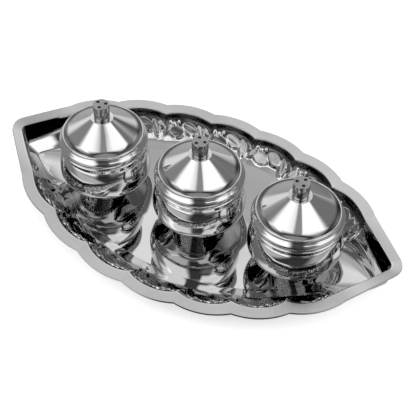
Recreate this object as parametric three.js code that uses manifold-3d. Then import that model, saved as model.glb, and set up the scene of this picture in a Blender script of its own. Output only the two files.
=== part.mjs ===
// Kumkum holder plate: a leaf-shaped pressed tray that carries three lidded cups.
// Millimetres, +Z up. The origin is the middle of the tray's underside, the tray's long axis runs
// along X, and the front of the tray is -Y.

import * as THREE from 'three';
import * as BufferGeometryUtils from 'three/addons/utils/BufferGeometryUtils.js';
import Module from 'manifold-3d';

const wasm = await Module();
wasm.setup();

// Cup: a spun bowl with a small foot, a round belly and a neck that the lid slips over
const bellyRadius = 22.95;
const bellyBulge = 24;
const bellyHeight = 12.5;
const hipBulge = 7.5;
const footRadius = 10;
const shoulderHeight = 23.5;
const bowlWall = 1;
const shoulderLip = 0.2;
const shoulderStep = 0.4;
const neckHeight = 8.1;
const neckWall = 0.9;

// Lid: a skirt, a bead ring and a cone with a small flat land for the knob
const lidClearance = 0.7;
const lidWall = 0.9;
const lidEdgeGap = 3.4;
const skirtBulge = 0.45;
const skirtShoulder = 0.45;
const skirtBrow = 1.35;
const skirtChin = 1.6;
const beadRadius = 0.4;
const coneInset = 2.6;
const coneBaseRise = 3;
const coneHeight = 8.8;
const landRadius = 5.5;

// Knob and the screw that holds it from below
const knobRadius = 4;
const knobHeight = 8.1;
const dimpleRadius = 0.6;
const dimpleDepth = 0.5;
const dimpleMargin = 1.1;
const dimplesPerKnob = 3;
const knobCap = 3.1;
const screwRadius = 1.5;
const screwHeadLap = 1.3;
const screwHeadHeight = 1.7;
const slotWidth = 0.8;
const slotDepth = 0.7;

// Fits
const seatGap = 0.1;
const shankGap = 0.3;

// Tray: its size follows the cups that it carries
const cupSpacing = 7.2;
const tipRoom = 32.7;
const sideRoom = 38.75;
const sheetThickness = 1;
const trayDepth = 10;
const tipRise = 6.3;
const flangeWidth = 6;
const creaseRun = 1.1;
const reliefWidth = 8.5;
const basinRun = 8;
const tipFlangeWidth = 4.8;
const tipDroop = 1.3;
const tipWallRun = 6.9;
const tipCorner = 8.5;
const innerCorner = 1.5;
const tipEdge = 35;
const creaseDrop = 0.31;
const bandDrop = 0.76;
const lobesPerSide = 7;
const lobeBulge = 2;
const lobeLean = 0.1;
const flowerRise = 1.5;
const leafRise = 1.3;

// The garland's raised forms, the same in each lobe: the middle as a share of the lobe and of the
// relief's width, half the length along the lobe, half the width, and the rise
const garland = [
  { along: 0.2, down: 0.5, halfLength: 3.6, halfWidth: 3.2, rise: flowerRise },
  { along: 0.54, down: 0.47, halfLength: 5.8, halfWidth: 2.8, rise: leafRise },
  { along: 0.8, down: 0.6, halfLength: 2.9, halfWidth: 3.6, rise: leafRise },
];

// How far each loose cup stands from its even place in the row, and how far its knob is turned:
// name, along X, along Y, degrees
const cupPlaces = [
  ['left', 1.4, 0.3, 40],
  ['middle', 2, -0.3, 5],
  ['right', 1.25, -3, -50],
];

// Facets
const cupSides = 28;
const knobSides = 20;
const dimpleSides = 8;
const stepsPerLobe = 10;
const stepsPerTipEdge = 4;
const stepsPerTipCorner = 4;

// How far a cutter reaches past the face that it opens
const cutPast = 1;

// Sizes worked out from the ones above
const cupPitch = 2 * bellyRadius + cupSpacing;
const halfLength = cupPitch + bellyRadius + tipRoom;
const halfWidth = bellyRadius + sideRoom;
const bellyCentre = bellyRadius - bellyBulge;
const shoulderRadius = bellyCentre + Math.sqrt(bellyBulge ** 2 - (shoulderHeight - bellyHeight) ** 2);
const neckRadius = shoulderRadius - shoulderStep;
const neckTop = shoulderHeight + neckHeight;
const skirtInside = neckRadius + lidClearance;
const skirtOutside = skirtInside + lidWall;
const skirtDepth = neckHeight - shoulderLip - lidEdgeGap;
const coneBaseRadius = skirtOutside - coneInset;
const landTop = coneBaseRise + coneHeight;
const landUnderside = landTop - lidWall;
const knobHoleRadius = screwRadius + shankGap;
const dimpleCircle = knobRadius - dimpleMargin - dimpleRadius;
const screwHeadRadius = screwRadius + screwHeadLap;
const screwReach = knobHeight - knobCap;

const steel = { color: 0xc9cacb, roughness: 0.12, metalness: 1 };
const mirrorSteel = { color: 0xdcddde, roughness: 0.04, metalness: 1 };
const knobSteel = { color: 0x9c9d9e, roughness: 0.35, metalness: 1 };
const screwSteel = { color: 0xa9a9a6, roughness: 0.3, metalness: 1 };

function piece(name, geometry, finish) {
  const mesh = new THREE.Mesh(geometry, new THREE.MeshStandardMaterial(finish));
  mesh.name = name;
  return mesh;
}

// A solid for cutting, from a closed three.js geometry
function solidOf(geometry) {
  const bare = geometry.clone();
  bare.deleteAttribute('normal');
  bare.deleteAttribute('uv');
  const merged = BufferGeometryUtils.mergeVertices(bare);
  const vertProperties = new Float32Array(merged.attributes.position.array);
  const triVerts = new Uint32Array(merged.index.array);
  return new wasm.Manifold(new wasm.Mesh({ numProp: 3, vertProperties, triVerts }));
}

function geometryOf(solid) {
  const mesh = solid.getMesh();
  const geometry = new THREE.BufferGeometry();
  geometry.setAttribute('position', new THREE.BufferAttribute(new Float32Array(mesh.vertProperties), 3));
  geometry.setIndex(new THREE.BufferAttribute(new Uint32Array(mesh.triVerts), 1));
  geometry.computeVertexNormals();
  return geometry;
}

// An upright round bar from z = bottom to z = top
function bar(radius, bottom, top, sides) {
  const geometry = new THREE.CylinderGeometry(radius, radius, top - bottom, sides);
  geometry.rotateX(Math.PI / 2);
  geometry.translate(0, 0, (bottom + top) / 2);
  return geometry;
}

// A round piece about Z from its profile of [radius, height] points
function turned(profile, sides) {
  const points = profile.map(([radius, height]) => new THREE.Vector2(radius, height));
  const geometry = new THREE.LatheGeometry(points, sides);
  geometry.rotateX(Math.PI / 2);
  return geometry;
}

// Points on a circle of a profile, from one angle to another, both ends included
function arc(centreRadius, centreHeight, radius, startAngle, endAngle, steps) {
  const points = [];
  for (let step = 0; step <= steps; step += 1) {
    const angle = startAngle + (endAngle - startAngle) * (step / steps);
    points.push([centreRadius + radius * Math.cos(angle), centreHeight + radius * Math.sin(angle)]);
  }
  return points;
}

// The bowl's foot, the straight run that leaves it, the hip and the belly, drawn in by a wall
// thickness for the inside. The straight run meets the hip's arc where the two have one direction.
function bellyProfile(wall, hipSteps, bellySteps) {
  const hipCentre = bellyRadius - hipBulge;
  const footAway = Math.hypot(hipCentre - footRadius, bellyHeight);
  const footTurn = Math.atan2(-bellyHeight, footRadius - hipCentre);
  const meeting = footTurn + Math.acos(hipBulge / footAway);
  const hip = arc(hipCentre, bellyHeight, hipBulge - wall, meeting, 0, hipSteps);
  const top = Math.asin((shoulderHeight - wall - bellyHeight) / (bellyBulge - wall));
  const belly = arc(bellyCentre, bellyHeight, bellyBulge - wall, 0, top, bellySteps);
  const [meetingRadius, meetingHeight] = hip[0];
  const foot = meetingRadius + (meetingHeight - wall) * Math.tan(meeting);
  return [[foot, wall], ...hip, ...belly.slice(1)];
}

function bowlGeometry() {
  const outside = bellyProfile(0, 4, 4);
  const inside = bellyProfile(bowlWall, 3, 3);
  const neckInside = neckRadius - neckWall;
  const profile = [
    [0, 0],
    ...outside,
    [shoulderRadius - shoulderLip, shoulderHeight + shoulderLip],
    [neckRadius, shoulderHeight + shoulderLip],
    [neckRadius, neckTop],
    [neckInside, neckTop],
    [neckInside, shoulderHeight],
    ...inside.reverse(),
    [0, bowlWall],
  ];
  return turned(profile, cupSides);
}

// Heights are counted from the lid's seat on the top of the bowl's neck
function lidGeometry() {
  const bulge = skirtOutside + skirtBulge;
  const beadHeight = coneBaseRise - 2 * beadRadius;
  const coneSlope = Math.atan2(coneHeight, coneBaseRadius - landRadius);
  const underConeBase = coneBaseRise - lidWall / Math.cos(coneSlope);
  const underLandRadius = coneBaseRadius - (landUnderside - underConeBase) / Math.tan(coneSlope);
  const innerConeRadius = coneBaseRadius - lidWall;
  const underConeAtWall = underConeBase + lidWall * Math.tan(coneSlope);
  const profile = [
    [knobHoleRadius, landUnderside],
    [underLandRadius, landUnderside],
    [innerConeRadius, underConeAtWall],
    [innerConeRadius, 0],
    [skirtInside, 0],
    [skirtInside, -skirtDepth],
    [skirtOutside, -skirtDepth],
    [bulge, skirtChin - skirtDepth],
    [bulge, -skirtBrow],
    [skirtOutside, skirtShoulder],
    [coneBaseRadius + lidWall, beadHeight - beadRadius],
    [coneBaseRadius + beadRadius * 2, beadHeight],
    [coneBaseRadius + beadRadius, coneBaseRise],
    [coneBaseRadius, coneBaseRise],
    [landRadius, landTop],
    [knobHoleRadius, landTop],
    [knobHoleRadius, landUnderside],
  ];
  return turned(profile, cupSides);
}

// Heights are counted from the knob's foot
function knobGeometry() {
  const holeDepth = screwReach + shankGap;
  let knob = solidOf(bar(knobRadius, 0, knobHeight, knobSides));
  knob = knob.subtract(solidOf(bar(knobHoleRadius, -cutPast, holeDepth, dimpleSides)));
  for (let index = 0; index < dimplesPerKnob; index += 1) {
    const angle = (2 * Math.PI * index) / dimplesPerKnob;
    const dimple = bar(dimpleRadius, knobHeight - dimpleDepth, knobHeight + cutPast, dimpleSides);
    dimple.translate(dimpleCircle * Math.cos(angle), dimpleCircle * Math.sin(angle), 0);
    knob = knob.subtract(solidOf(dimple));
  }
  return geometryOf(knob);
}

// Heights are counted from the top of the screw's head, which bears on the land from below
function screwGeometry() {
  const reach = seatGap + lidWall + seatGap + screwReach;
  const head = solidOf(bar(screwHeadRadius, -screwHeadHeight, 0, knobSides));
  const shank = solidOf(bar(screwRadius, -screwHeadHeight / 2, reach, dimpleSides));
  const slot = new THREE.BoxGeometry(4 * screwHeadRadius, slotWidth, 2 * slotDepth);
  slot.translate(0, 0, -screwHeadHeight);
  return geometryOf(head.add(shank).subtract(solidOf(slot)));
}

// The notches between the lobes lie on one arc from tip to tip
const sideArc = (halfLength ** 2 + halfWidth ** 2) / (2 * halfWidth);
const sideArcCentre = halfWidth - sideArc;
const tipAngle = Math.asin(halfLength / sideArc);
const lastNotchAngle = tipAngle - 2 * Math.asin(tipEdge / (2 * sideArc));
const lobeAngle = (2 * lastNotchAngle) / lobesPerSide;

// A point of the back side at an angle of the side arc, drawn in from the outline by inset
function sidePoint(angle, inset, bulge) {
  const radius = sideArc - inset + bulge;
  return new THREE.Vector2(radius * Math.sin(angle), sideArcCentre + radius * Math.cos(angle));
}

const outerNotch = sidePoint(lastNotchAngle, 0, 0);
const tipSlope = Math.atan2(outerNotch.y, halfLength - outerNotch.x);

// The right tip, rounded, for an outline drawn in by inset
function tipCornerAt(inset) {
  const notch = sidePoint(lastNotchAngle, inset, 0);
  const point = new THREE.Vector2(halfLength - inset / Math.sin(tipSlope), 0);
  const slope = Math.atan2(notch.y, point.x - notch.x);
  const radius = Math.max(tipCorner - inset, innerCorner);
  const centre = new THREE.Vector2(point.x - radius / Math.sin(slope), 0);
  return { notch, radius, centre, turn: Math.PI / 2 - slope };
}

// Half of the outline, anticlockwise: the right tip's corner, its back edge, the back lobes and the
// left tip's back edge. A station gives its place for any inset, its share of the tip's form, and
// the height of the garland there for any distance in from the crease.
function halfStations() {
  const stations = [];
  for (let step = 0; step <= stepsPerTipCorner; step += 1) {
    const share = (2 * step) / stepsPerTipCorner - 1;
    stations.push({ tipShare: 1, relief: () => 0, place: (inset) => cornerPlace(inset, share) });
  }
  for (let step = 1; step < stepsPerTipEdge; step += 1) {
    stations.push(edgeStation(step / stepsPerTipEdge, 1));
  }
  for (let lobe = 0; lobe < lobesPerSide; lobe += 1) {
    for (let step = 0; step < stepsPerLobe; step += 1) {
      stations.push(lobeStation(lobe, step / stepsPerLobe));
    }
  }
  stations.push(lobeStation(lobesPerSide, 0));
  for (let step = stepsPerTipEdge - 1; step > 0; step -= 1) {
    stations.push(edgeStation(step / stepsPerTipEdge, -1));
  }
  return stations;
}

function cornerPlace(inset, share) {
  const { radius, centre, turn } = tipCornerAt(inset);
  const angle = share * turn;
  return new THREE.Vector2(centre.x + radius * Math.cos(angle), radius * Math.sin(angle));
}

// along runs from 0 at the tip's corner to 1 at the last notch
function edgeStation(along, side) {
  const place = (inset) => {
    const { notch } = tipCornerAt(inset);
    const point = cornerPlace(inset, 1).lerp(notch, along);
    return new THREE.Vector2(side * point.x, point.y);
  };
  return { tipShare: 1 - along ** 2, relief: () => 0, place };
}

// along runs from 0 to 1 between two notches
function lobeStation(lobe, along) {
  const angle = lastNotchAngle - lobeAngle * (lobe + along);
  const swell = 4 * along * (1 - along);
  const place = (inset) => {
    const past = Math.max(inset - flangeWidth, 0) / reliefWidth;
    return sidePoint(angle, inset, lobeBulge * swell * (1 - past / 2));
  };
  return { tipShare: 0, relief: (down) => garlandHeight(1 - along, down), place };
}

// Height of the garland at a share of one lobe and a distance in from the crease
function garlandHeight(along, down) {
  const heights = garland.map((form) => {
    const lobeLength = sideArc * lobeAngle;
    const past = ((along - form.along) * lobeLength) / form.halfLength;
    const aside = (down - form.down * reliefWidth) / form.halfWidth;
    return form.rise * Math.max(0, 1 - past ** 2 - aside ** 2);
  });
  return Math.max(...heights);
}

// Rings of the pressed sheet, from the rim's edge in to the floor: the inset at the sides and at the
// tips, how much of the depth each has gone down there, and how far the tips' flange droops. The
// garland lies on the sloping band between the foot of the crease and the basin.
const bandRun = reliefWidth - creaseRun;
const rings = [
  { side: 0, tip: 0, sideDrop: 0, tipDrop: 0, droop: tipDroop },
  { side: flangeWidth, tip: tipFlangeWidth, sideDrop: 0, tipDrop: 0, droop: 0 },
  bandRing(0, 0.07, 0.35),
  bandRing(0.28, 0.14, 0.62),
  bandRing(0.55, 0.25, 0.74),
  bandRing(0.8, 0.5, 0.85),
  bandRing(1, 0.75, 0.93),
  { side: flangeWidth + reliefWidth + basinRun, tip: tipFlangeWidth + tipWallRun,
    sideDrop: 1, tipDrop: 1, droop: 0 },
];

// A ring at a share of the band's run, and at a share of the tip wall's run and of its drop
function bandRing(share, tipShare, tipDrop) {
  const sideDrop = THREE.MathUtils.lerp(creaseDrop, bandDrop, share);
  const side = flangeWidth + creaseRun + share * bandRun;
  return { side, tip: tipFlangeWidth + tipShare * tipWallRun, sideDrop, tipDrop, droop: 0 };
}

// The sheet's upper face at a station and ring: its inset and its height above the underside
function sheetPoint(station, ring) {
  const inset = THREE.MathUtils.lerp(ring.side, ring.tip, station.tipShare);
  const drop = THREE.MathUtils.lerp(ring.sideDrop, ring.tipDrop, station.tipShare);
  const rim = sheetThickness + trayDepth + tipRise * (station.place(0).x / halfLength) ** 2;
  const height = THREE.MathUtils.lerp(rim, sheetThickness, drop) - ring.droop * station.tipShare;
  return new THREE.Vector2(inset, height + station.relief(ring.side - flangeWidth));
}

// The sheet's lower face: each point steps off square to the two stretches that meet there
function lowerPoints(upper) {
  const normals = [];
  for (let index = 1; index < upper.length; index += 1) {
    const run = upper[index].clone().sub(upper[index - 1]).normalize();
    normals.push(new THREE.Vector2(run.y, -run.x));
  }
  normals.push(new THREE.Vector2(0, -1));
  return upper.map((point, index) => {
    const before = index === 0 ? new THREE.Vector2(0, -1) : normals[index - 1];
    const after = normals[index];
    const step = before.clone().add(after).multiplyScalar(sheetThickness / (1 + before.dot(after)));
    return point.clone().add(step);
  });
}

// The lobes lean along the tray: the outline slides along X with the distance from the long axis
function leaned(place, side, height) {
  const x = side * place.x;
  const y = side * place.y;
  return [x - lobeLean * y, y, height];
}

function trayGeometry() {
  const columns = [];
  for (const side of [1, -1]) {
    for (const station of halfStations()) {
      const upper = rings.map((ring) => sheetPoint(station, ring));
      const lower = lowerPoints(upper);
      const loop = [...upper, ...lower.reverse()];
      columns.push(loop.map((point) => leaned(station.place(point.x), side, point.y)));
    }
  }
  const rows = columns[0].length;
  const positions = columns.flat(2);
  const index = [];
  columns.forEach((column, at) => {
    const here = at * rows;
    const next = ((at + 1) % columns.length) * rows;
    for (let row = 0; row + 1 < rows; row += 1) {
      if (row + 1 === rings.length) continue;
      index.push(here + row, next + row, next + row + 1, here + row, next + row + 1, here + row + 1);
    }
    index.push(here + rows - 1, next + rows - 1, next, here + rows - 1, next, here);
  });
  addFloor(positions, index, columns.length, rows, rings.length - 1, sheetThickness, false);
  addFloor(positions, index, columns.length, rows, rings.length, 0, true);
  const geometry = new THREE.BufferGeometry();
  geometry.setAttribute('position', new THREE.Float32BufferAttribute(positions, 3));
  geometry.setIndex(index);
  geometry.computeVertexNormals();
  return geometry;
}

// A flat face that closes one ring of the tray
function addFloor(positions, index, columnCount, rows, row, height, facesDown) {
  const centre = positions.length / 3;
  positions.push(0, 0, height);
  for (let at = 0; at < columnCount; at += 1) {
    const here = at * rows + row;
    const next = ((at + 1) % columnCount) * rows + row;
    if (facesDown) index.push(centre, next, here);
    else index.push(centre, here, next);
  }
}

// One cup as it stands on the tray's floor
function cup(name, knobTurn) {
  const group = new THREE.Group();
  const bowl = piece(`bowl_${name}`, bowlGeometry(), mirrorSteel);
  const lid = piece(`lid_${name}`, lidGeometry(), mirrorSteel);
  const knob = piece(`knob_${name}`, knobGeometry(), knobSteel);
  const screw = piece(`knob_screw_${name}`, screwGeometry(), screwSteel);
  const seat = neckTop + seatGap;
  lid.position.z = seat;
  knob.position.z = seat + landTop + seatGap;
  knob.rotation.z = knobTurn;
  screw.position.z = seat + landUnderside - seatGap;
  group.add(bowl, lid, knob, screw);
  return group;
}

const holder = new THREE.Group();
holder.add(piece('tray', trayGeometry(), steel));
cupPlaces.forEach(([name, strayX, strayY, knobTurn], place) => {
  const standing = cup(name, THREE.MathUtils.degToRad(knobTurn));
  standing.position.set((place - 1) * cupPitch + strayX, strayY, sheetThickness + seatGap);
  holder.add(standing);
});

export default holder;
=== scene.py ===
import math

import bpy
from mathutils import Matrix, Vector


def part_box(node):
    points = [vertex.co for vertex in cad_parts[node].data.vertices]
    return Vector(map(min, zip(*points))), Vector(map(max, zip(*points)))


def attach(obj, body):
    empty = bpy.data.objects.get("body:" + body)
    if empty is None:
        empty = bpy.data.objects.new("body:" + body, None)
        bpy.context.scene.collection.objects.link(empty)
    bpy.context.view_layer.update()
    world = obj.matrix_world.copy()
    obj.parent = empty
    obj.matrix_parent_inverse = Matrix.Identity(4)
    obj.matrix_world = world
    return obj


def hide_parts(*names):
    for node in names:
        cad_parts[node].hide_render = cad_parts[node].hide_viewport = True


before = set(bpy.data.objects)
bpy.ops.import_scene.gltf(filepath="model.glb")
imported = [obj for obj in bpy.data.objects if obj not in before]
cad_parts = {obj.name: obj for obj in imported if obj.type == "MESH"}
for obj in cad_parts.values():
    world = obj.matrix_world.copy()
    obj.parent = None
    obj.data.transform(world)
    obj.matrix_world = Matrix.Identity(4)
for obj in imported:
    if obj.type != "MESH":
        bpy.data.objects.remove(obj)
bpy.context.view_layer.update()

# The tray is one sheet of steel, pressed between two dies into a leaf with lobed sides. Its flange
# lies almost flat, a garland of leaves and flowers runs down to the floor on both long sides, and
# the walls at the two tips are plain and steep.
mm = 0.001

# Its outline, in millimetres: two shallow arcs that meet at the tips, lobed but for the tips' edges
half_length = 108.38
half_width = 61.65
outline_lean = 0.1
tip_edge = 35
tip_corner = 8.5
inner_corner = 1.5
lobes_per_side = 7
lobe_bulge = 2
lobe_fade = 2
notch_dip = 1.3
notch_share = 0.16
dip_reach_outwards = 3
dip_reach_inwards = 6
dip_growth = 3

# Its section from the rim inwards: flange, then the garland's band or the tips' wall, then basin
sheet = 1
tray_depth = 10
tip_rise = 6.3
flange_width = 6
satin_width = 5.1
relief_width = 8.5
basin_end = 16.5
tip_flange_width = 4.8
tip_droop = 1.3
tip_wall_run = 6.9

side_arc = (half_length ** 2 + half_width ** 2) / (2 * half_width)
side_arc_centre = half_width - side_arc
tip_angle = math.asin(half_length / side_arc)
last_notch = tip_angle - 2 * math.asin(tip_edge / (2 * side_arc))
lobe_angle = 2 * last_notch / lobes_per_side
lobe_length = side_arc * lobe_angle


def side_point(angle, inset, bulge):
    """A point of a long side's arc, moved in by an inset and out by a bulge"""
    radius = side_arc - inset + bulge
    return Vector((radius * math.sin(angle), side_arc_centre + radius * math.cos(angle)))


outer_notch = side_point(last_notch, 0, 0)
tip_slope = math.atan2(outer_notch.y, half_length - outer_notch.x)


def corner_place(inset, share):
    """A point of a tip's rounded corner; its share runs from -1 at the front to 1 at the back"""
    notch = side_point(last_notch, inset, 0)
    point_x = half_length - inset / math.sin(tip_slope)
    slope = math.atan2(notch.y, point_x - notch.x)
    radius = max(tip_corner - inset, inner_corner)
    angle = share * (math.pi / 2 - slope)
    centre_x = point_x - radius / math.sin(slope)
    return Vector((centre_x + radius * math.cos(angle), radius * math.sin(angle)))


def edge_place(inset, along, side):
    """A point of a straight tip edge, between the tip's corner and the last notch"""
    point = corner_place(inset, 1).lerp(side_point(last_notch, inset, 0), along)
    return Vector((side * point.x, point.y))


def lobe_place(inset, lobe, along):
    """A point of a lobed side; lobes swell outwards, and the crease dips inwards at the notches"""
    past = max(inset - flange_width, 0) / relief_width
    swell = 4 * along * (1 - along) * max(1 - past / lobe_fade, 0)
    dip = notch_dip * (math.exp(-along / notch_share) + math.exp((along - 1) / notch_share))
    dip_reach = dip_reach_outwards if inset < flange_width else dip_reach_inwards
    near_crease = max(0, 1 - abs(inset - flange_width) / dip_reach)
    ends = min(1, dip_growth * (lobe + along), dip_growth * (lobes_per_side - lobe - along))
    drawn_in = inset + dip * near_crease * ends
    return side_point(last_notch - lobe_angle * (lobe + along), drawn_in, lobe_bulge * swell)


# Each station of half the outline: its kind, its lobe or side, its place there, and its tip share
steps_per_tip_corner = 12
steps_per_tip_edge = 26
steps_per_lobe = 53
edge_steps = [step / steps_per_tip_edge for step in range(1, steps_per_tip_edge)]
stations = []
for step in range(steps_per_tip_corner + 1):
    stations.append(("corner", 0, 2 * step / steps_per_tip_corner - 1, 1))
stations += [("edge", 1, along, 1 - along ** 2) for along in edge_steps]
for lobe in range(lobes_per_side):
    stations += [("lobe", lobe, step / steps_per_lobe, 0) for step in range(steps_per_lobe)]
stations.append(("lobe", lobes_per_side, 0, 0))
stations += [("edge", -1, along, 1 - along ** 2) for along in reversed(edge_steps)]


def outline_place(station, inset):
    """A point of the outline at a station, moved in by an inset"""
    kind, which, along, _ = station
    if kind == "corner":
        return corner_place(inset, along)
    if kind == "edge":
        return edge_place(inset, along, which)
    return lobe_place(inset, which, along)


# How far the sheet has come down, as a share of its depth, against the distance in from the crease:
# at the sides in millimetres, at the tips as a share of the tip wall's run
side_wall = [
    (-1, 0), (-0.4, 0.003), (0, 0.02), (0.3, 0.09), (0.6, 0.2), (0.9, 0.28), (1.2, 0.32),
    (8.2, 0.78), (8.8, 0.81), (11, 0.895), (11.8, 0.915), (16, 0.99), (16.5, 1)]
tip_wall = [
    (-0.08, 0), (0, 0.02), (0.03, 0.12), (0.1, 0.56), (0.13, 0.66), (0.17, 0.71), (0.24, 0.745),
    (0.9, 0.975), (1, 1)]


def drop_at(place, wall):
    """How far down a wall is at a place; outside its first knot the first slope goes on"""
    for (low, below), (high, above) in zip(wall, wall[1:]):
        if place <= high:
            share = (place - low) / (high - low)
            return below + (above - below) * share
    return wall[-1][1]


# The garland, once in each lobe. A leaf has its middle along the lobe and down from the crease, its
# length, width and tilt, its lift over other leaves and the depth of its rib; a flower is a dome
garland_leaves = [
    ((7.0, 6.8), 12.5, 6.4, 0.1, 0.05, 0),
    ((14.8, 5.0), 12.5, 6.4, 0.2, 0.3, 0.2),
    ((21.4, 6.0), 10, 6.2, 1.1, 0.1, 0.12),
    ((25.2, 4.0), 7.6, 4.2, 0.6, -0.1, 0),
    ((1.4, 5.8), 8.4, 4.4, -0.8, 0.2, 0)]
garland_flowers = [((2.9, 3.0), 1.3), ((5.3, 3.9), 1.4), ((7.8, 2.9), 1.2)]
garland_reach = 10.4
garland_start = 0.7
garland_blend = 0.9
flower_rise = 0.6
leaf_rise = 0.9
leaf_crown = 0.3
leaf_edge = 0.8
leaf_roundness = 1.6
rib_share = 0.2
# Painted shade: the insides of the leaves are darkened by this share, fading out towards their
# rims, so that only the rims stay bright
leaf_shade = 0.68
shade_rim = 0.86
shade_blend = 0.2
hollow_rise = 0.35
hollow_blend = 1.5


def leaf(place, middle, length, width, tilt, lift, rib):
    """A leaf's cover at a place, how far it stands up there, and how far inside its rim that is"""
    turn_cos, turn_sin = math.cos(tilt), math.sin(tilt)
    east, south = place[0] - middle[0], place[1] - middle[1]
    reach = abs(east * turn_cos + south * turn_sin) / (length / 2)
    aside = abs(south * turn_cos - east * turn_sin) / (width / 2)
    spread = math.sqrt(reach ** leaf_roundness + aside ** 2)
    if spread >= 1:
        return 0, 0, 0
    cover = min(1, (1 - spread) * width / 2 / leaf_edge)
    groove = rib * math.exp(-(aside / rib_share) ** 2) * (1 - reach)
    inside = max(0, min(1, (shade_rim - spread) / shade_blend))
    crown = lift + leaf_crown * (1 - spread ** 2) - groove
    return cover * cover * (3 - 2 * cover), crown, inside


def flower(place, middle, radius):
    """The height of a flower's dome at a place"""
    distance = (place[0] - middle[0]) ** 2 + (place[1] - middle[1]) ** 2
    return math.sqrt(radius ** 2 - distance) if distance < radius ** 2 else 0


def garland(along, down):
    """The garland's height over the sheet, and its share of painted shade, along one lobe and down
    from the crease
    """
    height, darkening = 0, 0
    for shift in (0, lobe_length):
        place = (along - shift, down)
        for form in garland_leaves:
            cover, lift, inside = leaf(place, *form)
            if cover * (leaf_rise + lift) > height:
                height, darkening = cover * (leaf_rise + lift), leaf_shade * inside
        for middle, radius in garland_flowers:
            dome = flower(place, middle, radius)
            if flower_rise + dome > height and dome:
                height, darkening = flower_rise + dome, 0
    return height, darkening


def sheet_point(station, ring):
    """A point of the sheet's upper face, its height and its share of painted shade; rings are
    counted as at the sides
    """
    kind, which, along, tip_share = station
    down = ring - flange_width
    tip_down = down * (tip_wall_run / basin_end if down > 0 else tip_flange_width / flange_width)
    inset = (flange_width + down) * (1 - tip_share) + (tip_flange_width + tip_down) * tip_share
    side_drop, tip_drop = drop_at(down, side_wall), drop_at(tip_down / tip_wall_run, tip_wall)
    drop = side_drop * (1 - tip_share) + tip_drop * tip_share
    rim = sheet + tray_depth + tip_rise * (outline_place(station, 0).x / half_length) ** 2
    droop = tip_droop * tip_share * max(0, min(1, -down / flange_width))
    height = rim + (sheet - rim) * drop - droop
    darkening = 0
    if kind == "lobe" and which < lobes_per_side and 0 < down < garland_reach:
        garland_height, darkening = garland((1 - along) * lobe_length, down)
        garland_height *= min(max(down - garland_start, 0) / garland_blend, 1)
        # Painted shade: the bare ground between the garland's forms is darkened fully, fading out
        # towards the foot of the band
        if garland_height < hollow_rise:
            darkening = min(1, (relief_width - hollow_blend - down) / hollow_blend)
        height += garland_height
    return outline_place(station, inset), height, darkening


def mark(piece, attribute, shares):
    """Stores a share at each point of a piece, for its material to read"""
    piece.data.attributes.new(attribute, "FLOAT", "POINT").data.foreach_set("value", shares)


# The rings of points round the tray, by their distance in from the rim, fine where the garland is
fine_start, fine_end, fine_steps = 5.2, 15.4, 38
rings = [0, 0.15, 0.6, 2.4, 4.2, 5]
for step in range(fine_steps + 1):
    rings.append(fine_start + (fine_end - fine_start) * step / fine_steps)
rings += [16, 16.8, 17.4, 18, 19, 20, 21, 21.8, 22.3, 22.5]
columns = 2 * len(stations)
bpy.ops.object.select_all(action="DESELECT")
bpy.ops.mesh.primitive_grid_add(x_subdivisions=columns, y_subdivisions=len(rings) - 1, size=1)
tray_sheet = bpy.context.object
tray_sheet.name = "tray_sheet"
flange_shares, painted_hollow_shades = [], []
for index, vertex in enumerate(tray_sheet.data.vertices):
    row, column = divmod(index, columns + 1)
    side = 1 if column % columns < len(stations) else -1
    place, height, darkening = sheet_point(stations[column % len(stations)], rings[row])
    y = side * place.y
    vertex.co = ((side * place.x - outline_lean * y) * mm, y * mm, height * mm)
    flange_shares.append(1 if rings[row] < satin_width else 0)
    painted_hollow_shades.append(max(darkening, 0))
mark(tray_sheet, "flange_share", flange_shares)
mark(tray_sheet, "painted_hollow_shade", painted_hollow_shades)

# The grid's ends are joined, the hole in its middle becomes the floor, and the sheet gets its gauge
join_within = 0.01 * mm
floor_margin = 0.0001
bpy.ops.object.mode_set(mode="EDIT")
bpy.ops.mesh.select_all(action="SELECT")
bpy.ops.mesh.remove_doubles(threshold=join_within)
bpy.ops.mesh.select_all(action="DESELECT")
bpy.ops.object.mode_set(mode="OBJECT")
faces_at = {}
for polygon in tray_sheet.data.polygons:
    for key in polygon.edge_keys:
        faces_at[key] = faces_at.get(key, 0) + 1
floor_level = (sheet + floor_margin) * mm
for edge in tray_sheet.data.edges:
    low = all(tray_sheet.data.vertices[index].co.z < floor_level for index in edge.vertices)
    edge.select = low and faces_at[edge.key] == 1
bpy.ops.object.mode_set(mode="EDIT")
bpy.ops.mesh.select_mode(type="EDGE")
bpy.ops.mesh.edge_face_add()
bpy.ops.object.mode_set(mode="OBJECT")
gauge = tray_sheet.modifiers.new("gauge", "SOLIDIFY")
gauge.thickness = sheet * mm
gauge.offset = -1
bpy.ops.object.modifier_apply(modifier="gauge")
bpy.ops.object.shade_smooth_by_angle(angle=math.radians(50))


def node(tree, kind, inputs=(), **settings):
    """Adds a shader node; an input is a value or another node's socket"""
    made = tree.nodes.new(kind)
    for name, value in settings.items():
        setattr(made, name, value)
    for socket, value in dict(inputs).items():
        if isinstance(value, bpy.types.NodeSocket):
            tree.links.new(value, made.inputs[socket])
        else:
            made.inputs[socket].default_value = value
    return made


def calculated(tree, operation, *values):
    """The result of a Math node on values or sockets"""
    return node(tree, "ShaderNodeMath", enumerate(values), operation=operation).outputs[0]


def noise(tree, place, scale, detail):
    """The value of a noise pattern at a place"""
    inputs = {"Vector": place, "Scale": scale, "Detail": detail}
    return node(tree, "ShaderNodeTexNoise", inputs).outputs["Fac"]


def mixed(tree, share, first, second):
    """A colour between two; a Mix node's colour sockets go by number, because their names repeat"""
    inputs = {"Factor": share, 6: first, 7: second}
    return node(tree, "ShaderNodeMix", inputs, data_type="RGBA").outputs[2]


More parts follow.
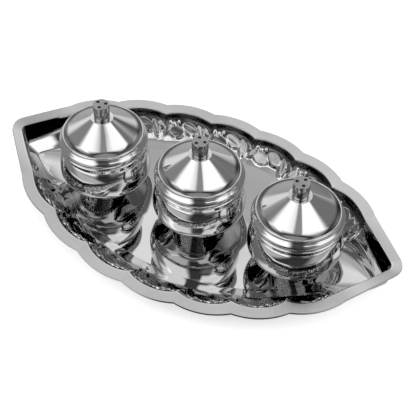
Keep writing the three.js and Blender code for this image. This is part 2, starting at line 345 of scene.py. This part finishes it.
def group_of(name, inputs, outputs):
    """A shader node group and its two end nodes; an input without a value takes a vector"""
    group = bpy.data.node_groups.new(name, "ShaderNodeTree")
    for socket, value in inputs.items():
        kind = "NodeSocketVector" if value is None else "NodeSocketFloat"
        made = group.interface.new_socket(name=socket, in_out="INPUT", socket_type=kind)
        if value is not None:
            made.default_value = value
    for socket in outputs:
        group.interface.new_socket(name=socket, in_out="OUTPUT", socket_type="NodeSocketFloat")
    return group, group.nodes.new("NodeGroupInput"), group.nodes.new("NodeGroupOutput")


# Polished metal is never quite even: low waves from the buff, and a thin haze where it was held
polish, polish_in, polish_out = group_of(
    "polish", {"Vector": None, "Waves": 90.0, "Haze": 45.0, "Dull": 0.1},
    ["Height", "Roughness", "Tint"])
waves = noise(polish, polish_in.outputs["Vector"], polish_in.outputs["Waves"], detail=1.0)
darkening = noise(polish, polish_in.outputs["Vector"], polish_in.outputs["Haze"], detail=4.0)
patches = node(polish, "ShaderNodeMapRange", {"Value": darkening, "From Min": 0.45, "From Max": 0.75})
patches = patches.outputs["Result"]
dulled = calculated(polish, "MULTIPLY", patches, polish_in.outputs["Dull"])
for made, socket in ((waves, "Height"), (dulled, "Roughness"), (patches, "Tint")):
    polish.links.new(made, polish_out.inputs[socket])

# Spinning and turning leave fine rings about the axis of a round piece
spin_marks, spin_in, spin_out = group_of(
    "spin_marks", {"From Axis": None, "Rings": 900.0}, ["Height"])
from_axis = spin_in.outputs["From Axis"]
level_part = node(
    spin_marks, "ShaderNodeVectorMath", {0: from_axis, 1: (1, 1, 0)}, operation="MULTIPLY")
away = node(
    spin_marks, "ShaderNodeVectorMath", {0: level_part.outputs["Vector"]}, operation="LENGTH")
split = node(spin_marks, "ShaderNodeSeparateXYZ", {"Vector": from_axis})
on_profile = node(
    spin_marks, "ShaderNodeCombineXYZ", {"X": away.outputs["Value"], "Y": split.outputs["Z"]})
turning = noise(spin_marks, on_profile.outputs["Vector"], spin_in.outputs["Rings"], detail=3.0)
spin_marks.links.new(turning, spin_out.inputs["Height"])


def grey(level):
    """A grey colour, from black at 0 to white at 1"""
    return (level, level, level, 1)


def metal(name, colour, hazed_colour, roughness, dull, waves_per_metre, wave_depth, ring_depth=0):
    """A polished metal, uneven as the polish group says, and with the rings of spin_marks"""
    material = bpy.data.materials.new(name)
    material.use_nodes = True
    tree = material.node_tree
    shader = tree.nodes["Principled BSDF"]
    shader.inputs["Metallic"].default_value = 1
    place = node(tree, "ShaderNodeTexCoord").outputs["Object"]
    marks = node(tree, "ShaderNodeGroup", {
        "Vector": place, "Waves": waves_per_metre, "Dull": dull}, node_tree=polish)
    base = mixed(tree, marks.outputs["Tint"], colour, hazed_colour)
    tree.links.new(base, shader.inputs["Base Color"])
    rough = calculated(tree, "ADD", marks.outputs["Roughness"], roughness)
    tree.links.new(rough, shader.inputs["Roughness"])
    bump = node(tree, "ShaderNodeBump", {
        "Height": marks.outputs["Height"], "Distance": wave_depth, "Strength": 1.0})
    if ring_depth:
        from_axis = node(tree, "ShaderNodeAttribute", attribute_name="from_axis")
        spins = node(tree, "ShaderNodeGroup", {
            "From Axis": from_axis.outputs["Vector"]}, node_tree=spin_marks)
        bump = node(tree, "ShaderNodeBump", {
            "Height": spins.outputs["Height"], "Distance": ring_depth, "Strength": 1.0,
            "Normal": bump.outputs["Normal"]})
    tree.links.new(bump.outputs["Normal"], shader.inputs["Normal"])
    return material


def shade_painted_where(material, attribute, level):
    """Paints shade on a metal, darkening it where an attribute of the piece says so"""
    tree = material.node_tree
    base = tree.nodes["Principled BSDF"].inputs["Base Color"]
    share = node(tree, "ShaderNodeAttribute", attribute_name=attribute).outputs["Fac"]
    tree.links.new(mixed(tree, share, base.links[0].from_socket, grey(level)), base)


def rougher_where(material, attribute, amount):
    """Adds to a metal's roughness where an attribute of the piece says so"""
    tree = material.node_tree
    rough = tree.nodes["Principled BSDF"].inputs["Roughness"]
    share = node(tree, "ShaderNodeAttribute", attribute_name=attribute).outputs["Fac"]
    total = calculated(tree, "MULTIPLY_ADD", share, amount, rough.links[0].from_socket)
    tree.links.new(total, rough)


tray_metal = metal(
    "tray_metal", grey(0.6), grey(0.56), roughness=0.03, dull=0.05,
    waves_per_metre=70, wave_depth=0.06 * mm)
# Painted shade: the garland's hollows and the insides of its leaves are darkened nearly to black,
# and are made rougher too
shade_painted_where(tray_metal, "painted_hollow_shade", 0.08)
rougher_where(tray_metal, "painted_hollow_shade", 0.12)
rougher_where(tray_metal, "flange_share", 0.22)
tray_sheet.data.materials.clear()
tray_sheet.data.materials.append(tray_metal)
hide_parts("tray")
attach(tray_sheet, "tray_body")

# Each bowl is spun from sheet steel over a former: a small flat foot, a round belly, a small
# shoulder and a straight neck for the lid. It only stands on the tray.
belly_bulge = 24
belly_radius = 22.95
belly_height = 12.5
hip_bulge = 7.5
foot_radius = 10
foot_rounding = 0.6
shoulder_height = 23.5
shoulder_lip = 0.2
shoulder_step = 0.4
crease_rounding = 0.1
bowl_wall = 1
neck_height = 8.1
neck_wall = 0.9
mouth_rounding = 0.25
inner_rounding = 0.5
belly_centre = belly_radius - belly_bulge
shoulder_rise = shoulder_height - belly_height
shoulder_radius = belly_centre + math.sqrt(belly_bulge ** 2 - shoulder_rise ** 2)
neck_radius = shoulder_radius - shoulder_step
neck_inside = neck_radius - neck_wall
neck_top = shoulder_height + neck_height
cup_names = ["left", "middle", "right"]


def arc(centre_radius, centre_height, radius, start, end, steps):
    """Points of a profile on a circle, both ends included"""
    turns = [start + (end - start) * step / steps for step in range(steps + 1)]
    return [
        (centre_radius + radius * math.cos(turn), centre_height + radius * math.sin(turn))
        for turn in turns]


def sharp(points):
    """Points of a profile as corners without rounding"""
    return [(radius, height, 0) for radius, height in points]


def rounded(corners, steps=5):
    """A profile whose corners, given as radius, height and rounding, are turned into arcs"""
    most = 0.49
    points = []
    for index, (radius, height, rounding) in enumerate(corners):
        if not rounding:
            points.append((radius, height))
            continue
        here = Vector((radius, height))
        before = Vector(corners[index - 1][:2]) - here
        after = Vector(corners[(index + 1) % len(corners)][:2]) - here
        half_turn = before.angle(after) / 2
        back_off = min(rounding / math.tan(half_turn), before.length * most, after.length * most)
        start, end = here + before.normalized() * back_off, here + after.normalized() * back_off
        for step in range(steps + 1):
            share = step / steps
            curve = start.lerp(here, share).lerp(here.lerp(end, share), share)
            points.append((curve.x, curve.y))
    return points


def choose(piece):
    """Makes a piece the only one selected, and the active one"""
    bpy.ops.object.select_all(action="DESELECT")
    piece.select_set(True)
    bpy.context.view_layer.objects.active = piece


def spun(name, profile, centre, base, closed, steps=128):
    """A round piece, spun about its own upright axis from its profile in millimetres"""
    points = [(centre.x + radius * mm, centre.y, base + height * mm) for radius, height in profile]
    edges = [(index, index + 1) for index in range(len(points) - 1)]
    if closed:
        edges.append((len(points) - 1, 0))
    mesh = bpy.data.meshes.new(name)
    mesh.from_pydata(points, edges, [])
    made = bpy.data.objects.new(name, mesh)
    bpy.context.collection.objects.link(made)
    choose(made)
    bpy.ops.object.mode_set(mode="EDIT")
    bpy.ops.mesh.select_all(action="SELECT")
    bpy.ops.mesh.spin(
        steps=steps, angle=2 * math.pi, center=(centre.x, centre.y, base), axis=(0, 0, 1))
    bpy.ops.mesh.select_all(action="SELECT")
    bpy.ops.mesh.remove_doubles(threshold=0.002 * mm)
    bpy.ops.mesh.normals_make_consistent(inside=False)
    bpy.ops.object.mode_set(mode="OBJECT")
    bpy.ops.object.shade_smooth_by_angle(angle=math.radians(45))
    return made


def mark_axis(made, centre):
    """Stores each point's place counted from the axis that the piece was turned about"""
    places = made.data.attributes.new("from_axis", "FLOAT_VECTOR", "POINT")
    for vertex in made.data.vertices:
        places.data[vertex.index].vector = vertex.co - centre


def belly_line(wall, hip_steps, belly_steps):
    """The bowl's side from its foot to its shoulder, moved inwards by a wall"""
    hip_centre = belly_radius - hip_bulge
    meeting = math.atan2(-belly_height, foot_radius - hip_centre)
    meeting += math.acos(hip_bulge / math.hypot(hip_centre - foot_radius, belly_height))
    hip = arc(hip_centre, belly_height, hip_bulge - wall, meeting, 0, hip_steps)
    top = math.asin((shoulder_height - wall - belly_height) / (belly_bulge - wall))
    belly = arc(belly_centre, belly_height, belly_bulge - wall, 0, top, belly_steps)
    foot = hip[0][0] + (hip[0][1] - wall) * math.tan(meeting)
    return [(foot, wall)] + hip + belly[1:]


outside, inside = belly_line(0, 20, 24), belly_line(bowl_wall, 12, 14)
lip_height = shoulder_height + shoulder_lip
bowl_corners = [(0, 0, 0), (*outside[0], foot_rounding)] + sharp(outside[1:]) + [
    (shoulder_radius - shoulder_lip, lip_height, crease_rounding),
    (neck_radius, lip_height, crease_rounding),
    (neck_radius, neck_top, mouth_rounding), (neck_inside, neck_top, mouth_rounding),
    (neck_inside, shoulder_height, inner_rounding)]
bowl_corners += sharp(reversed(inside)) + [(0, bowl_wall, 0)]
cup_metal = metal(
    "cup_metal", grey(0.62), grey(0.58), roughness=0.03, dull=0.04,
    waves_per_metre=60, wave_depth=0.08 * mm, ring_depth=0.003 * mm)
# Painted shade: the crease at the foot of each lid's cone is darkened
shade_painted_where(cup_metal, "recess_shade", 0.1)
axes = {}
for name in cup_names:
    low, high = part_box("bowl_" + name)
    axes[name] = Vector(((low[0] + high[0]) / 2, (low[1] + high[1]) / 2, 0))
    bowl = spun("spun_bowl_" + name, rounded(bowl_corners), axes[name], low[2], closed=False)
    mark_axis(bowl, axes[name])
    bowl.data.materials.append(cup_metal)
    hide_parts("bowl_" + name)
    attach(bowl, "bowl_body_" + name)

# Each lid is spun in one piece of sheet steel: a lip, a bulging skirt, a bead ring and a cone whose
# foot flares out and whose top is a small flat land. It slips over the bowl's neck and rests on it.
lid_wall = 0.9
land_radius = 5.5
cone_height = 8.8
cone_base_rise = 3
cone_inset = 2.6
cone_foot = [(0.3, 2.75), (-0.4, 2.95), (-1.1, 3.27), (-1.8, 3.66), (-2.5, 4.1)]
skirt_gap = 0.7
skirt_depth = 4.5
lip_radius = 0.5
lip_inset = 0.2
knob_hole = 1.8
skirt_inside = neck_radius + skirt_gap
skirt_outside = skirt_inside + lid_wall
cone_base = skirt_outside - cone_inset
land_top = cone_base_rise + cone_height
land_under = land_top - lid_wall
cone_turn = math.atan2(cone_height, cone_base - land_radius)
under_base = cone_base_rise - lid_wall / math.cos(cone_turn)
under_land = cone_base - (land_under - under_base) / math.tan(cone_turn)
inner_cone = cone_base - lid_wall
inside_of_lid = [
    (knob_hole, land_under, 0), (under_land, land_under, 0.4),
    (inner_cone, under_base + lid_wall * math.tan(cone_turn), 0.6), (inner_cone, 0, 0.2),
    (skirt_inside, 0, 0.3), (skirt_inside, -skirt_depth, 0.2)]
lip = arc(
    skirt_outside - lip_inset, lip_radius - skirt_depth, lip_radius,
    start=-math.pi / 2, end=math.pi / 2.4, steps=10)
skirt = arc(skirt_outside - 2, -1.6, radius=2.45, start=-0.66, end=1.02, steps=20)
bead = arc(cone_base + 0.8, 2.3, radius=0.45, start=-0.5, end=2.3, steps=12)
lid_corners = inside_of_lid + sharp(lip + skirt) + [(cone_base + 1.28, 1.75, crease_rounding)]
lid_corners += sharp(bead) + sharp((cone_base + out, height) for out, height in cone_foot)
lid_corners += [(land_radius, land_top, 0.35), (knob_hole, land_top, 0)]

# Painted shade darkens the crease at the foot of the cone
crease_bottom = 2.6
crease_outside = 0.35
crease_width = 2.1
crease_shade = 0.9
for name in cup_names:
    low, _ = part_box("lid_" + name)
    seat = low[2] + skirt_depth * mm
    lid = spun("spun_lid_" + name, rounded(lid_corners), axes[name], seat, closed=True)
    mark_axis(lid, axes[name])
    recess_shade = []
    for vertex in lid.data.vertices:
        out = (vertex.co.xy - axes[name].xy).length / mm - cone_base
        above_seat = (vertex.co.z - low[2]) / mm - skirt_depth
        in_crease = above_seat > crease_bottom and out < crease_outside
        recess_shade.append(max(0, min(crease_shade, out + crease_width)) if in_crease else 0)
    mark(lid, "recess_shade", recess_shade)
    lid.data.materials.append(cup_metal)
    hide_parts("lid_" + name)
    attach(lid, "lid_body_" + name)

# Each knob is a short bar turned from steel. Its top is matt from the lathe, with three shallow
# drilled dimples, its side is polished, and a blind hole from below takes the screw.
knob_radius = 4
knob_height = 8.1
bore_depth = 5.3
bore_tip = 0.5
side_ring = 0.9
top_ring = 0.6
knob_turns = {"left": 40, "middle": 5, "right": -50}
knob_corners = [
    (0, bore_depth + bore_tip, 0), (knob_hole, bore_depth, 0), (knob_hole, 0, 0.2),
    (knob_radius, 0, 0.25), (knob_radius, side_ring, 0), (knob_radius, knob_height, 0.3),
    (knob_radius - top_ring, knob_height, 0), (0, knob_height, 0)]
dimple_radius = 0.85
dimple_circle = 2.3
dimple_depth = 0.6
dimple_tip = 1
drill_overrun = 1
drill_corners = [
    (0, knob_height - dimple_tip), (dimple_radius, knob_height - dimple_depth),
    (dimple_radius, knob_height + drill_overrun), (0, knob_height + drill_overrun)]
knob_metal = metal(
    "knob_metal", grey(0.42), grey(0.3), roughness=0.1, dull=0.1,
    waves_per_metre=400, wave_depth=0.04 * mm, ring_depth=0.01 * mm)
# Painted shade: the walls of the knob's dimples are darkened nearly to black
shade_painted_where(knob_metal, "recess_shade", 0.05)
rougher_where(knob_metal, "top_share", 0.28)


def cut_away(piece, tool):
    """Cuts a tool's shape out of a piece, and takes the tool away"""
    choose(piece)
    piece.modifiers.new("cut", "BOOLEAN").object = tool
    bpy.ops.object.modifier_apply(modifier="cut")
    bpy.data.objects.remove(tool)


# Painted shade darkens the walls of the dimples, which lie within this depth and this radius
shade_top = 0.2
shade_bottom = 1.3
shade_radius = 3.6
top_margin = 0.01
for name in cup_names:
    low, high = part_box("knob_" + name)
    knob = spun(
        "turned_knob_" + name, rounded(knob_corners), axes[name], low[2], closed=False, steps=64)
    for third in range(3):
        turn = math.radians(knob_turns[name] + 120 * third)
        centre = axes[name] + Vector((math.cos(turn), math.sin(turn), 0)) * dimple_circle * mm
        cut_away(knob, spun("drill", drill_corners, centre, low[2], closed=False, steps=24))
    bpy.ops.object.shade_smooth_by_angle(angle=math.radians(40))
    mark_axis(knob, axes[name])
    tops, recess_shade = [], []
    for vertex in knob.data.vertices:
        out = (vertex.co.xy - axes[name].xy).length / mm
        deep = (high[2] - vertex.co.z) / mm
        tops.append(1 if deep < top_margin else 0)
        recess_shade.append(1 if shade_top < deep < shade_bottom and out < shade_radius else 0)
    mark(knob, "top_share", tops)
    mark(knob, "recess_shade", recess_shade)
    knob.data.materials.append(knob_metal)
    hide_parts("knob_" + name)
    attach(knob, "lid_body_" + name)

# Each knob is held by a pan head screw from inside the lid. Its head has a straight slot, and its
# shank has a rolled thread.
screw_radius = 1.5
head_radius = 2.8
head_height = 1.7
head_crown = 0.9
head_edge = 0.7
shank_reach = 6.1
shank_taper = 0.35
plain_shank = 0.35
slot_width = 0.8
slot_depth = 0.7
thread_start = 0.6
thread_pitch = 0.5
thread_depth = 0.2
thread_flank = 0.2
thread_turns = 11
screw_corners = [
    (0, -head_height, 0), (head_radius - head_crown, -head_height, 0.5),
    (head_radius, head_edge - head_height, 0.4), (head_radius, 0, 0.1), (screw_radius, 0, 0.1),
    (screw_radius, plain_shank, 0)]
for step in range(thread_turns):
    crest = thread_start + step * thread_pitch
    screw_corners += [(screw_radius - thread_depth, crest - thread_flank, 0)]
    screw_corners += [(screw_radius, crest, 0)]
screw_corners += [(screw_radius - shank_taper, shank_reach, 0.1), (0, shank_reach, 0)]
screw_metal = metal(
    "screw_metal", (0.55, 0.55, 0.54, 1), (0.4, 0.4, 0.39, 1), roughness=0.25, dull=0.2,
    waves_per_metre=400, wave_depth=0.04 * mm, ring_depth=0.01 * mm)
for name in cup_names:
    _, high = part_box("knob_screw_" + name)
    axis = axes[name]
    seat = high[2] - shank_reach * mm
    screw = spun("pan_screw_" + name, rounded(screw_corners), axis, seat, closed=False, steps=48)
    bpy.ops.object.select_all(action="DESELECT")
    bpy.ops.mesh.primitive_cube_add(size=1, location=(axis.x, axis.y, seat - head_height * mm))
    slot = bpy.context.object
    slot.scale = (4 * head_radius * mm, slot_width * mm, 2 * slot_depth * mm)
    cut_away(screw, slot)
    bpy.ops.object.shade_smooth_by_angle(angle=math.radians(40))
    mark_axis(screw, axis)
    screw.data.materials.append(screw_metal)
    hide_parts("knob_screw_" + name)
    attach(screw, "lid_body_" + name)

# The studio: a pale floor, a ring of soft panels round the table, and the camera where the
# photographer stood. Azimuths count from the camera's side towards its right.
camera_azimuth = math.radians(25.40)
camera_elevation = math.radians(47.36)
camera_roll = math.radians(1.58)
camera_distance = 0.48819
camera_target = Vector((0.00757, -0.00167, 0.011))


def direction(azimuth, elevation):
    """A direction, by its azimuth from the camera's side and its elevation, both in radians"""
    turn = camera_azimuth - math.pi / 2 + azimuth
    level = math.cos(elevation)
    return Vector((math.cos(turn) * level, math.sin(turn) * level, math.sin(elevation)))


# One soft panel as seen from the table: how far a direction lies from its middle, faded at the edge
soft_panel, panel_in, panel_out = group_of(
    "soft_panel",
    {"Vector": None, "Towards": None, "Aside": None, "Elevation": 0.0, "Half Width": 0.5,
     "Half Height": 0.5, "Edge": 0.1, "Radiance": 1.0}, ["Light"])
given = panel_in.outputs
ahead = node(
    soft_panel, "ShaderNodeVectorMath", {0: given["Vector"], 1: given["Towards"]},
    operation="DOT_PRODUCT")
aside = node(
    soft_panel, "ShaderNodeVectorMath", {0: given["Vector"], 1: given["Aside"]},
    operation="DOT_PRODUCT")
turned = calculated(soft_panel, "ARCTAN2", aside.outputs["Value"], ahead.outputs["Value"])
split = node(soft_panel, "ShaderNodeSeparateXYZ", {"Vector": given["Vector"]})
lifted = calculated(soft_panel, "ARCSINE", split.outputs["Z"])
above = calculated(soft_panel, "SUBTRACT", lifted, given["Elevation"])
faded = []
for off, size in ((turned, "Half Width"), (above, "Half Height")):
    within = node(soft_panel, "ShaderNodeMapRange", {
        "Value": calculated(soft_panel, "ABSOLUTE", off),
        "From Min": calculated(soft_panel, "ADD", given[size], given["Edge"]),
        "From Max": calculated(soft_panel, "SUBTRACT", given[size], given["Edge"])},
        interpolation_type="SMOOTHSTEP")
    faded.append(within.outputs["Result"])
covered = calculated(soft_panel, "MULTIPLY", *faded)
shining = calculated(soft_panel, "MULTIPLY", covered, given["Radiance"])
soft_panel.links.new(shining, panel_out.inputs["Light"])


def light_up(tree, vector, total, panels):
    """Adds soft panels to a light; a panel's first five numbers are in degrees"""
    for azimuth, elevation, half_across, half_up, edge, radiance in panels:
        panel = node(tree, "ShaderNodeGroup", {
            "Vector": vector, "Towards": direction(math.radians(azimuth), 0),
            "Aside": direction(math.radians(azimuth + 90), 0),
            "Elevation": math.radians(elevation), "Half Width": math.radians(half_across),
            "Half Height": math.radians(half_up), "Edge": math.radians(edge),
            "Radiance": radiance}, node_tree=soft_panel)
        total = calculated(tree, "ADD", total, panel.outputs["Light"])
    return total


# Each panel's azimuth, elevation, half width, half height, soft edge and radiance. The floor panels
# are what the metal mirrors below the horizon, and the room panels are what it mirrors above
floor_panels = [
    (-50, 0, 28, 20, 10, 0.6),
    (62, 0, 26, 20, 10, 0.5),
    (-172, 0, 46, 20, 14, 0.45),
    (-108, 0, 26, 20, 10, 0.25),
    (112, 0, 24, 20, 10, 0.2)]
room_panels = [
    (-48, 36, 31, 32, 8, 1.6),
    (-88, 58, 18, 12, 5, 1.3),
    (66, 27, 22, 19, 8, 1.4),
    (30, 20, 14, 16, 8, 0.25),
    (60, 57, 41, 12, 5, 1.6),
    (0, 90, 180, 12, 4, 1.4),
    (0, 66, 18, 7, 5, 0.35),
    (0, 36, 16, 24, 8, 0.05),
    (-106, 15, 26, 40, 8, 0.3),
    (112, 15, 26, 40, 8, 0.22),
    (-172, 5, 42, 35, 8, 0.45),
    (-138, 15, 13, 11, 6, 0.6),
    (150, 6, 12, 9, 6, 0.4),
    (180, 48, 60, 14, 8, 0.5),
    (180, 42, 55, 8, 9, 0.45),
    (180, 68, 90, 9, 6, 0.42)]
floor_base_light = 0.05
room_base_light = 0.035

# The camera sees a pale floor, and the metal mirrors a dim one that has its own panels
floor_size = 6
floor_drop = 0.2 * mm
bpy.ops.object.select_all(action="DESELECT")
bpy.ops.mesh.primitive_plane_add(size=floor_size, location=(0, 0, -floor_drop))
floor = bpy.context.object
floor.name = "studio_floor"
pale = bpy.data.materials.new("pale_floor")
pale.use_nodes = True
tree = pale.node_tree
shader = tree.nodes["Principled BSDF"]
shader.inputs["Base Color"].default_value = grey(0.93)
shader.inputs["Roughness"].default_value = 0.8
shader.inputs["Emission Color"].default_value = grey(1)
shader.inputs["Emission Strength"].default_value = 0.55
place = node(tree, "ShaderNodeTexCoord").outputs["Object"]
outward = node(tree, "ShaderNodeVectorMath", {0: place}, operation="NORMALIZE")
mirrored = node(tree, "ShaderNodeEmission", {
    "Color": grey(1),
    "Strength": light_up(tree, outward.outputs["Vector"], floor_base_light, floor_panels)})
rays = node(tree, "ShaderNodeLightPath")
seen = node(tree, "ShaderNodeMixShader", {
    0: rays.outputs["Is Camera Ray"], 1: mirrored.outputs[0], 2: shader.outputs[0]})
tree.links.new(seen.outputs[0], tree.nodes["Material Output"].inputs["Surface"])
floor.data.materials.append(pale)

world = bpy.data.worlds.new("studio")
bpy.context.scene.world = world
world.use_nodes = True
tree = world.node_tree
sky = node(tree, "ShaderNodeTexCoord").outputs["Generated"]
light = light_up(tree, sky, room_base_light, room_panels)
tree.links.new(light, tree.nodes["Background"].inputs["Strength"])
tree.nodes["Background"].inputs["Color"].default_value = grey(1)
bpy.context.scene.view_settings.view_transform = "Standard"

towards_camera = direction(0, camera_elevation)
level = Vector((math.cos(camera_azimuth), math.sin(camera_azimuth), 0))
upright = towards_camera.cross(level)
camera_right = math.cos(camera_roll) * level + math.sin(camera_roll) * upright
camera_up = towards_camera.cross(camera_right)
camera_turn = Matrix((camera_right, camera_up, towards_camera)).transposed().to_4x4()
camera_place = Matrix.Translation(camera_target + towards_camera * camera_distance)
camera_data = bpy.data.cameras.new("studio_camera")
camera_data.lens = 85.88
camera_data.sensor_width = 36
camera = bpy.data.objects.new("studio_camera", camera_data)
bpy.context.collection.objects.link(camera)
camera.matrix_world = camera_place @ camera_turn
bpy.context.scene.camera = camera
